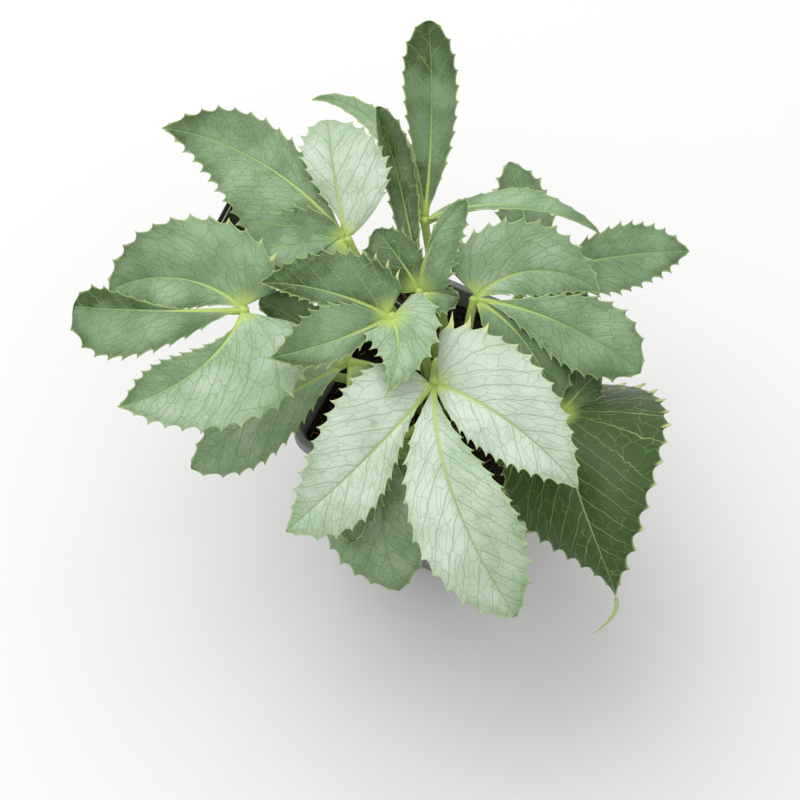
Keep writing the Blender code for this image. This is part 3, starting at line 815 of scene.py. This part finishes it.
def bloom_and_light_tone(look):
    """The blade between its veins: green under a waxy bloom with painted light and shade, which some leaflets
    have more of.
    """
    bloom, flat = look.kept("bloom", "Fac"), look.kept("flat")
    s, edge = look.parts("mark", "XY")
    cloud = look.step(look.noise(flat, 0.07, 3.0), 0.3, 0.7, -0.13, 0.13)
    cloud = look.times(cloud, look.step(bloom, 0.4, 0.9, 1.0, 0.85))
    mottle = look.step(look.noise(flat, 2.2, 3.0, 0.65), 0.3, 0.7, -0.08, 0.08)
    # Darker towards the tip and near the margins.
    less_at_tip_and_rim = look.plus(look.step(s, 0.6, 1.0, 0.0, -0.18), look.step(edge, 0.0, 4.5, -0.1, 0.0))
    wax_and_light = look.plus(look.plus(bloom, cloud), look.plus(mottle, less_at_tip_and_rim), clamp=True)
    # From deep green through leaf green to a whitish green: the pale end is partly a painted sheen, the deep
    # end partly painted shade.
    blade = look.mix(look.times(wax_and_light, 2.0, clamp=True), DEEP_GREEN, LEAF_GREEN)
    blade = look.mix(look.times(wax_and_light, 2.0, -1.0, clamp=True), blade, PALE_GREEN)
    worn = look.step(look.noise(flat, 0.5, 4.0, 0.7), 0.66, 0.78, 0.0, 0.35)
    return look.mix(worn, blade, DEEP_GREEN)


def leaf_top(name):
    """The upper face: a waxy grey-green bloom with painted light and shade over a net of veins with painted
    shade in them, with a pale rim and cream spines.
    """
    look = Look(name, TOP_ROUGH, 0.38)
    bloom, flat = look.kept("bloom", "Fac"), look.kept("flat")
    x, y = look.parts("flat", "XY")
    s, edge, spine = look.parts("mark")
    veins = vein_lines(look)

    # Painted shade in the sunken veins: the net, the side veins and the fine net darken towards VEIN_SHADE,
    # not at all on the darkest leaflets and less on the palest.
    shade = look.most(look.times(veins.net, NET_SHADE), veins.sides, look.times(veins.fine, FINE_SHADE))
    depth = look.times(look.step(bloom, 0.1, 0.4, 0.0, 0.5), look.step(bloom, 0.5, 0.85, 1.0, 0.62))
    blade = look.mix(look.times(shade, depth), bloom_and_light_tone(look), VEIN_SHADE)
    light = look.most(look.times(veins.net, look.fade(bloom, 0.1, 0.4, 0.25)),
                      look.times(veins.core, look.step(bloom, 0.3, 0.9, 0.75, 0.4)))
    blade = look.mix(light, blade, look.mix(look.step(s, 0.0, 0.4), VEIN_NEAR_HUB, VEIN_LIGHT))
    midrib = look.mix(look.step(s, 0.05, 0.5), MIDRIB_NEAR_HUB, MIDRIB_GREEN)
    blade = look.mix(look.times(veins.mid, MIDRIB_LIGHT), blade, midrib)

    from_hub = look.math("SQRT", look.times(x, x, look.times(y, y)))
    blade = look.mix(look.fade(from_hub, 1.0, HUB_GLOW, HUB_LIGHT), blade, HUB_GREEN)
    blade = look.mix(look.fade(edge, 0.1, 0.6, RIM_LIGHT), blade, RIM_GREEN)
    blade = look.mix(look.step(spine, 1.5, 3.2), blade, SPINE_CREAM)
    speck = look.times(look.step(look.noise(flat, 0.9), 0.745, 0.765), SPECK_SHADE)
    look.colour(look.mix(speck, blade, SPECK_BROWN))

    look.roughness(look.step(look.most(veins.net, veins.mid), 0.0, 1.0, TOP_ROUGH, VEIN_ROUGH))
    lines = look.most(veins.sides, look.times(veins.net, NET_DEPTH), veins.mid)
    grain = look.noise(flat, 2.2, 3.0, 0.65)
    height = look.times(lines, -1.0, look.times(grain, GRAIN_HEIGHT))
    look.bump(look.times(veins.fine, -FINE_DEPTH, height), 0.14, 0.8)
    return look.material


def leaf_under(name):
    """The lower face: paler and duller, with its veins standing out."""
    look = Look(name, 0.6, 0.3)
    spine = look.parts("mark", "Z")[0]
    veins = vein_lines(look)
    blade = look.mix(look.noise(look.kept("flat"), 0.08, 3.0), UNDER_DARK, UNDER_LIGHT)
    blade = look.mix(look.times(veins.net, 0.6), blade, UNDER_NET)
    blade = look.mix(look.most(look.times(veins.sides, 0.8), veins.mid), blade, UNDER_VEIN)
    look.colour(look.mix(look.step(spine, 1.1, 2.6), blade, UNDER_SPINE))
    look.bump(look.most(veins.sides, look.times(veins.net, NET_DEPTH)), 0.2)
    return look.material


def stalk_green(name):
    """Yellow-green stalks with faint streaks, duller towards the foot and flecked with red there."""
    look = Look(name, 0.42, 0.45)
    way = look.parts("mark", "X")[0]
    x, y, z = look.parts("flat")
    streak = look.noise(look.vector(x, y, look.times(z, 0.12)), 1.8, 3.0)
    green = look.mix(look.step(way, 0.0, 0.95), STALK_FOOT_GREEN, STALK_TOP_GREEN)
    green = look.mix(look.step(way, 1.05, 1.75), green, RIB_GREEN)
    green = look.mix(look.step(streak, 0.35, 0.75, 0.0, 0.45), green, STREAK_GREEN)
    flecks = look.step(look.noise(look.kept("flat"), 1.3, 4.0, 0.7), 0.62, 0.7)
    near_foot = look.fade(way, 0.05, 0.4, 0.55)
    look.colour(look.mix(look.times(flecks, near_foot), green, FLECK_RED))
    look.bump(streak, 0.12)
    return look.material


def make_leaf(name, number, top, under, stem):
    leaf = LEAVES[name]
    rng = np.random.default_rng(LEAF_SEED + number)
    pile = Pile()
    hub = np.array(leaf["hub"], float)
    for k, leaflet in enumerate(leaf["leaflets"]):
        add_blade(pile, hub, leaflet, rng, 3.0 * number + k)
    add_stalk(pile, leaf)
    made = pile.finish(name + "_living", [top, under, stem])
    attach(made, "root")
    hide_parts(name)


def rounded_square(half, radius, z):
    """A ring of points round a square of this half width, counter-clockwise seen from above."""
    ring = []
    for corner in range(4):
        middle = pi / 4 + corner * pi / 2
        x, y = (half - radius) * np.sign(cos(middle)), (half - radius) * np.sign(sin(middle))
        for step in range(POT_CORNER_STEPS + 1):
            angle = corner * pi / 2 + step * pi / 2 / POT_CORNER_STEPS
            ring.append((x + radius * cos(angle), y + radius * sin(angle), z))
    return ring


def lofted(name, rings):
    """Rings joined in order, with both ends filled, in metres."""
    count = len(rings[0])
    points = [tuple(c * MM for c in point) for ring in rings for point in ring]
    faces = []
    for i in range(len(rings) - 1):
        for k in range(count):
            after = (k + 1) % count
            a, b = i * count, (i + 1) * count
            faces.append((a + k, a + after, b + after, b + k))
    faces.append(tuple(range(count))[::-1])
    faces.append(tuple((len(rings) - 1) * count + k for k in range(count)))
    mesh = bpy.data.meshes.new(name)
    mesh.from_pydata(points, [], faces)
    return linked(name, mesh)


def pot_half(z):
    """Half the pot's outer width at this height, below its rim."""
    return POT_FOOT / 2 + (POT_TOP / 2 - POT_LIP - POT_FOOT / 2) * z / POT_HEIGHT


def pot_plastic():
    """Mottled recycled grey, with fine specks both paler and darker than the rest."""
    look = Look("pot_plastic", 0.55, 0.4)
    place = look.place()
    speckle = look.noise(place, 1900.0, 2.0, 0.8)
    cloud = look.noise(place, 40.0, 3.0)
    grey = look.mix(cloud, *PLASTIC_GREYS)
    grey = look.mix(look.step(speckle, 0.62, 0.72), grey, PLASTIC_SPECKS[1])
    grey = look.mix(look.step(speckle, 0.36, 0.28), grey, PLASTIC_SPECKS[0])
    look.colour(grey)
    look.roughness(look.step(cloud, 0.3, 0.7, 0.5, 0.66))
    look.bump(speckle, 0.05)
    return look.material


def quarter_round(radius, steps):
    """Pairs of distances, of which one falls from the radius to nothing and the other rises to it."""
    turns = [radians(90 * step / steps) for step in range(steps + 1)]
    return [(radius * (1 - sin(turn)), radius * (1 - cos(turn))) for turn in turns]


def pot_rings():
    """The pot's outline, from its foot up its outer wall, over its lip and down inside to its floor."""
    lip_foot = POT_HEIGHT - POT_LIP_HEIGHT
    top, lip, inside = POT_TOP / 2, POT_CORNER + POT_LIP, POT_CORNER - POT_WALL
    wall_foot, under_lip = pot_half(0), pot_half(lip_foot)
    wall_top = pot_half(POT_HEIGHT) - POT_WALL
    rings = [(wall_foot - a, POT_CORNER - a, b) for a, b in quarter_round(FOOT_ROUND, 4)]
    rings += [(under_lip - 0.05, POT_CORNER, lip_foot - 0.3), (under_lip + 0.25, POT_CORNER + 0.25, lip_foot)]
    rings += [(top - a, lip - a, lip_foot + b) for a, b in quarter_round(LIP_FOOT_ROUND, 3)]
    rings += [(top - b, lip - b, POT_HEIGHT - a) for a, b in quarter_round(LIP_ROUND, 4)]
    rings += [(wall_top + a, inside + a, POT_HEIGHT - b) for a, b in quarter_round(INNER_ROUND, 3)]
    rings.append((pot_half(POT_FLOOR) - POT_WALL, inside, POT_FLOOR))
    return [rounded_square(half, corner, z) for half, corner, z in rings]


def cut_drains(pot):
    """Cuts the four drainage holes in the pot's floor."""
    cutters = bpy.data.collections.new("drains")
    bpy.context.scene.collection.children.link(cutters)
    for x in (-DRAIN_PLACE, DRAIN_PLACE):
        for y in (-DRAIN_PLACE, DRAIN_PLACE):
            bpy.ops.mesh.primitive_cylinder_add(
                vertices=DRAIN_SIDES, radius=DRAIN_RADIUS * MM, depth=4 * POT_FLOOR * MM,
                location=(x * MM, y * MM, 0.0),
            )
            cutter = bpy.context.object
            for owner in list(cutter.users_collection):
                owner.objects.unlink(cutter)
            cutters.objects.link(cutter)
    modifier = pot.modifiers.new("Drains", "BOOLEAN")
    modifier.operation = "DIFFERENCE"
    modifier.operand_type = "COLLECTION"
    modifier.collection = cutters
    bpy.context.view_layer.update()
    cut = bpy.data.meshes.new_from_object(pot.evaluated_get(bpy.context.evaluated_depsgraph_get()))
    pot.modifiers.clear()
    pot.data = cut
    for cutter in list(cutters.objects):
        bpy.data.objects.remove(cutter, do_unlink=True)
    bpy.data.collections.remove(cutters)


def make_pot():
    """The solid pot again, with round edges on its lip and foot, and finer corners."""
    pot = lofted("pot_shell", pot_rings())
    cut_drains(pot)
    pot.data.materials.clear()
    pot.data.materials.append(pot_plastic())
    pot.data.shade_smooth()
    pot.data.set_sharp_from_angle(angle=radians(SHARP_TURN))
    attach(pot, "root")
    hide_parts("pot")


def compost_dark():
    look = Look("compost_dark", 0.9, 0.25)
    place = look.place()
    grain = look.noise(place, 420.0, 5.0, 0.7)
    clump = look.noise(place, 90.0, 3.0)
    brown = look.mix(clump, *COMPOST_BROWNS)
    look.colour(look.mix(look.step(grain, 0.55, 0.75), brown, COMPOST_GRAIN))
    look.bump(grain, 0.8)
    return look.material


def fibre_tan():
    look = Look("fibre_tan", 0.75, 0.3)
    streak = look.noise(look.place(), 700.0, 3.0)
    look.colour(look.mix(streak, *FIBRE_TANS))
    look.bump(streak, 0.1)
    return look.material


def crumbled(x, y):
    """How far the compost's top stands above or below its level, from a few crossing waves."""
    broad = 0.9 * sin(0.31 * x + 1.3) * sin(0.27 * y)
    return broad + 0.5 * sin(0.83 * x - 0.61 * y) + 0.35 * sin(1.1 * y + 2.0)


def open_ground(x, y, radius):
    """Whether a crumb of this radius, here in the part's frame, is clear of every stalk and the label."""
    u, v = to_leaves(x, y)
    near = STALK_RADIUS + CRUMB_GAP + radius
    for leaf in LEAVES.values():
        if (u - leaf["crown"][0]) ** 2 + (v - leaf["crown"][1]) ** 2 < near**2:
            return False
    heading = radians(LABEL_HEADING)
    u, v = u - LABEL_FOOT[0], v - LABEL_FOOT[1]
    along, aside = u * cos(heading) + v * sin(heading), v * cos(heading) - u * sin(heading)
    behind, ahead = LABEL_CLEAR
    return not (behind - radius < along < ahead + radius and abs(aside) < LABEL_WIDTH / 2 + radius)


def make_crumbs():
    """Crumbs of compost, thick enough on the ground to hide the smooth body below them."""
    rng = np.random.default_rng(CRUMB_SEED)
    ball = bmesh.new()
    bmesh.ops.create_icosphere(ball, subdivisions=1, radius=1.0)
    shape = np.array([vert.co for vert in ball.verts])
    ball.verts.index_update()
    sides = np.array([[vert.index for vert in face.verts] for face in ball.faces])
    ball.free()
    reach = pot_half(SOIL_TOP) - POT_WALL - 1.0
    points, faces = [], []
    for _ in range(CRUMBS):
        radius = CRUMB_LEAST + CRUMB_SPREAD * rng.random() ** 2.2
        x, y = rng.uniform(-reach + radius, reach - radius, 2)
        turn, squash = rng.uniform(0, 2 * pi), rng.uniform(0.6, 1.25, 3)
        knobs = rng.uniform(0.72, 1.2, len(shape))
        if not open_ground(x, y, radius):
            continue
        wide, deep, tall = (shape * squash * knobs[:, None] * radius).T
        wide, deep = wide * cos(turn) - deep * sin(turn), wide * sin(turn) + deep * cos(turn)
        crumb = np.stack((wide, deep, tall), axis=1)
        faces.append(sides + len(points) * len(shape))
        points.append(crumb + (x, y, SOIL_TOP + CRUMB_BED + crumbled(x, y) + 0.25 * radius))
    mesh = bpy.data.meshes.new("soil_crumbs")
    mesh.from_pydata((np.vstack(points) * MM).tolist(), [], np.vstack(faces).tolist())
    mesh.materials.append(compost_dark())
    mesh.shade_smooth()
    crumbs = linked("soil_crumbs", mesh)
    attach(crumbs, "root")


def make_fibres():
    """Short tan fibres lying on the compost."""
    rng = np.random.default_rng(FIBRE_SEED)
    pile = Pile()
    reach = pot_half(SOIL_TOP) - POT_WALL - 3.0
    for _ in range(FIBRES):
        x, y = rng.uniform(-reach, reach, 2)
        heading, bend = rng.uniform(0, 2 * pi), rng.uniform(-0.9, 0.9)
        length, radius = rng.uniform(3.0, 13.0), rng.uniform(0.1, 0.24)
        route = []
        for t in np.linspace(-0.5, 0.5, FIBRE_STEPS):
            angle = heading + bend * t
            px, py = x + length * t * cos(angle), y + length * t * sin(angle)
            px, py = np.clip((px, py), -reach, reach)
            if not open_ground(px, py, 0.6):
                break
            z = SOIL_TOP + FIBRE_BED + crumbled(px, py) + 0.5 * cos(3 * pi * t)
            route.append((*to_leaves(px, py), z))
        if len(route) > FIBRE_STEPS // 2:
            count = len(route)
            add_tube(pile, np.array(route), np.full(count, radius), FIBRE_SIDES, np.zeros(count))
    pile.looks = [0] * len(pile.looks)
    fibres = pile.finish("soil_fibres", [fibre_tan()])
    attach(fibres, "root")


def make_soil():
    soil = frame["nodes"]["soil"]
    soil.data.materials.clear()
    soil.data.materials.append(compost_dark())
    make_crumbs()
    make_fibres()


def label_black():
    look = Look("label_black", 0.34, 0.5)
    scuff = look.noise(look.place(), 260.0, 4.0, 0.7)
    look.colour(look.mix(look.step(scuff, 0.5, 0.8), *LABEL_BLACKS))
    look.roughness(look.step(scuff, 0.3, 0.7, 0.28, 0.45))
    return look.material


def label_cream():
    look = Look("label_cream", 0.5, 0.4)
    look.colour(look.mix(look.noise(look.place(), 500.0), *LABEL_CREAMS))
    return look.material


def make_label():
    """The stake, with a thin frame line near the edge of both its faces."""
    along = direction(LABEL_HEADING, LABEL_RISE)
    across = unit(np.cross((0.0, 0.0, 1.0), along))
    up = np.cross(along, across)
    foot = np.array((*LABEL_FOOT, SOIL_TOP))
    half = LABEL_WIDTH / 2
    inner = np.linspace(LINE_START, LABEL_ABOVE - LINE_EDGE - LINE_WIDTH, LINE_STEPS)
    lows = (-LABEL_BELOW, -LABEL_BELOW + half, LINE_START - 0.5)
    ways = np.concatenate([lows, inner, (LABEL_ABOVE - LINE_EDGE, LABEL_ABOVE - 0.5, LABEL_ABOVE)])
    sides = np.array((-half, -half + LINE_EDGE, -half + LINE_EDGE + LINE_WIDTH))
    sides = np.concatenate([sides, (-half / 2, 0.0, half / 2), -sides[::-1]])
    points, faces, looks = [], [], []
    for face_side in (1, -1):
        for way in ways:
            narrow = min(1.0, (way + LABEL_BELOW) / half)
            corner = 1.0 - 0.04 * (way > LABEL_ABOVE - 0.4)
            for aside in sides:
                wide = aside * narrow * corner
                points.append(foot + along * way + across * wide + up * face_side * LABEL_THICK / 2)
    rows, wide = len(ways), len(sides)
    count = rows * wide
    for i in range(rows - 1):
        for j in range(wide - 1):
            a = i * wide + j
            top_line = abs(ways[i] - inner[-1]) < TINY
            side_line = j in (1, wide - 3) and inner[0] - 1 < ways[i] <= inner[-1]
            framed = (top_line and 1 <= j <= wide - 3) or side_line
            quad = (a, a + wide, a + wide + 1, a + 1)
            faces += [quad[::-1], tuple(k + count for k in quad)]
            looks += [int(framed), int(framed)]
    ring = list(range(wide)) + [i * wide + wide - 1 for i in range(1, rows)]
    ring += [(rows - 1) * wide + j for j in range(wide - 2, -1, -1)]
    ring += [i * wide for i in range(rows - 2, 0, -1)]
    rim = [(b, a, a + count, b + count) for a, b in zip(ring, ring[1:] + ring[:1])]
    pile = Pile()
    pile.add(np.array(points), faces + rim, looks + [0] * len(rim))
    label = pile.finish("label_stake", [label_black(), label_cream()])
    label.data.set_sharp_from_angle(angle=radians(SHARP_TURN))
    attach(label, "root")
    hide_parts("plant_label")


def make_floor():
    bpy.ops.mesh.primitive_plane_add(size=FLOOR_SIZE, location=(0.0, 0.0, 0.0))
    floor = bpy.context.object
    floor.name = "floor"
    look = Look("floor_pale", 0.9, 0.1)
    look.colour(FLOOR_PALE)
    floor.data.materials.append(look.material)


def add_light(name, azimuth, elevation, distance, size, watts):
    """A soft square light that faces the plant's middle."""
    data = bpy.data.lights.new(name, "AREA")
    data.shape = "SQUARE"
    data.size = size
    data.energy = watts
    light = linked(name, data)
    round_by, up_by = radians(azimuth + FOLIAGE_TURN), radians(elevation)
    away = Vector((sin(round_by) * cos(up_by), -cos(round_by) * cos(up_by), sin(up_by)))
    light.location = Vector((0.0, 0.0, LIT_HEIGHT)) + away * distance
    light.rotation_euler = (-away).to_track_quat("-Z", "Y").to_euler()


def make_studio():
    world = bpy.data.worlds.new("studio")
    bpy.context.scene.world = world
    world.use_nodes = True
    backdrop = world.node_tree.nodes["Background"]
    backdrop.inputs["Color"].default_value = (1.0, 1.0, 1.0, 1.0)
    backdrop.inputs["Strength"].default_value = WORLD_STRENGTH
    for name, light in LIGHTS.items():
        add_light(name, **light)
    bpy.context.scene.view_settings.view_transform = "Standard"


def make_camera():
    eye, target = (Vector(to_row([point])[0]) for point in (EYE, TARGET))
    data = bpy.data.cameras.new("camera")
    data.lens = LENS
    data.clip_start, data.clip_end = NEAREST, FURTHEST
    camera = linked("camera", data)
    camera.location = eye
    camera.rotation_euler = (target - eye).to_track_quat("-Z", "Y").to_euler()
    bpy.context.scene.camera = camera


def main():
    make_camera()
    make_studio()
    make_floor()
    make_pot()
    make_soil()
    make_label()
    top = leaf_top("leaf_top")
    under, stem = leaf_under("leaf_under"), stalk_green("stalk_green")
    for number, name in enumerate(LEAVES):
        make_leaf(name, number, top, under, stem)


main()
